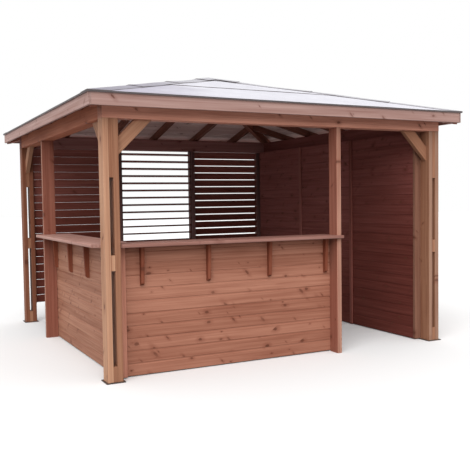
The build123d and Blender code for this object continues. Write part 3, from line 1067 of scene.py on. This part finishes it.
class SHELTER_OT_stage(Operator):
    """Camera, soft light and a pale floor"""

    bl_idname = "shelter.stage"
    bl_label = "Stage"

    def execute(self, context):
        _, _, stage = settings_of(context)
        context.scene.view_settings.view_transform = "Standard"
        self.camera(context, stage)
        self.sun(context, stage)
        self.sky(context, stage)
        self.floor(context, stage)
        return {"FINISHED"}

    def camera(self, context, stage):
        level = math.cos(stage.tilt)
        ahead = Vector((math.sin(stage.heading) * level, math.cos(stage.heading) * level,
                        math.sin(stage.tilt)))
        side = Vector((math.cos(stage.heading), -math.sin(stage.heading), 0))
        side = Matrix.Rotation(-stage.roll, 3, ahead) @ side
        axes = Matrix((side, side.cross(ahead), -ahead)).transposed()
        lens = bpy.data.cameras.new("camera")
        lens.lens = stage.lens
        camera = bpy.data.objects.new("camera", lens)
        camera.matrix_world = Matrix.Translation(stage.camera_place) @ axes.to_4x4()
        context.scene.collection.objects.link(camera)
        context.scene.camera = camera

    def sun(self, context, stage):
        lamp = bpy.data.lights.new("soft_sun", "SUN")
        lamp.energy = stage.sun_strength
        lamp.angle = stage.sun_spread
        level = math.cos(stage.sun_height)
        toward = Vector((-math.sin(stage.sun_heading) * level, -math.cos(stage.sun_heading) * level,
                         math.sin(stage.sun_height)))
        sun = bpy.data.objects.new("soft_sun", lamp)
        sun.rotation_mode = "QUATERNION"
        sun.rotation_quaternion = toward.to_track_quat("Z", "Y")
        context.scene.collection.objects.link(sun)

    def seen(self, shader):
        """1 for what the camera, a mirror or glass looks at."""
        direct = shader.node("ShaderNodeLightPath", out="Is Camera Ray")
        mirrored, through = shader.siblings(direct, "Is Glossy Ray", "Is Transmission Ray")
        return (direct + mirrored + through).math("MINIMUM", 1)

    def sky(self, context, stage):
        world = bpy.data.worlds.new("plain_sky")
        world.use_nodes = True
        context.scene.world = world
        shader = Shader(world.node_tree)
        _, _, height = shader.parts(shader.node("ShaderNodeTexCoord", out="Generated"))
        overcast = (height.math("MAXIMUM", 0) * (1 - HORIZON) + HORIZON) * stage.sky_strength
        seen = self.seen(shader)
        light = {"Color": (1, 1, 1, 1), "Strength": seen + (1 - seen) * overcast}
        shader.output(shader.node("ShaderNodeBackground", sockets=light), "ShaderNodeOutputWorld")

    def floor(self, context, stage):
        material, shader = new_material("pale_floor")
        bounced, shown = [shader.node("ShaderNodeBsdfDiffuse", sockets={"Color": rgba((grey,) * 3)})
                          for grey in (stage.floor_bounce, stage.floor_shade)]
        mixed = {0: self.seen(shader), 1: bounced, 2: shown}
        shader.output(shader.node("ShaderNodeMixShader", sockets=mixed))
        mesh = bmesh.new()
        bmesh.ops.create_circle(mesh, cap_ends=True, segments=FLOOR_CORNERS,
                                radius=stage.floor_radius)
        data = bpy.data.meshes.new("floor")
        mesh.to_mesh(data)
        mesh.free()
        data.materials.append(material)
        floor = bpy.data.objects.new("floor", data)
        context.scene.collection.objects.link(floor)
        floor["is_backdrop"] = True


PIECES = (SHELTER_OT_posts, SHELTER_OT_beams, SHELTER_OT_roof_frame, SHELTER_OT_roof_boards,
          SHELTER_OT_felt, SHELTER_OT_fascias, SHELTER_OT_cladding, SHELTER_OT_bar,
          SHELTER_OT_louvres, SHELTER_OT_plates, SHELTER_OT_stage)


class VIEW3D_PT_shelter(Panel):
    """Lists the pieces of the shelter and their settings"""

    bl_idname = "VIEW3D_PT_shelter"
    bl_label = "Garden Shelter"
    bl_space_type = "VIEW_3D"
    bl_region_type = "UI"
    bl_category = "Shelter"

    def draw(self, context):
        for piece in PIECES:
            self.layout.operator(piece.bl_idname)
        shelter = context.scene.shelter
        for group in (shelter.sizes, shelter.colours, shelter.stage):
            box = self.layout.box()
            for name in group.__annotations__:
                box.prop(group, name)


CLASSES = (ShelterSizes, ShelterColours, ShelterStage, ShelterSettings, *PIECES, VIEW3D_PT_shelter)


def register():
    for item in CLASSES:
        bpy.utils.register_class(item)
    bpy.types.Scene.shelter = PointerProperty(type=ShelterSettings)


def unregister():
    del bpy.types.Scene.shelter
    for item in reversed(CLASSES):
        bpy.utils.unregister_class(item)


def main():
    register()
    for piece in PIECES:
        group, name = piece.bl_idname.split(".")
        getattr(getattr(bpy.ops, group), name)()
    boxes = {"cad": CAD_BOX, "visual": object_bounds()}
    {name: [list(corner) for corner in box] for name, box in boxes.items()}


if __name__ == "__main__":
    main()
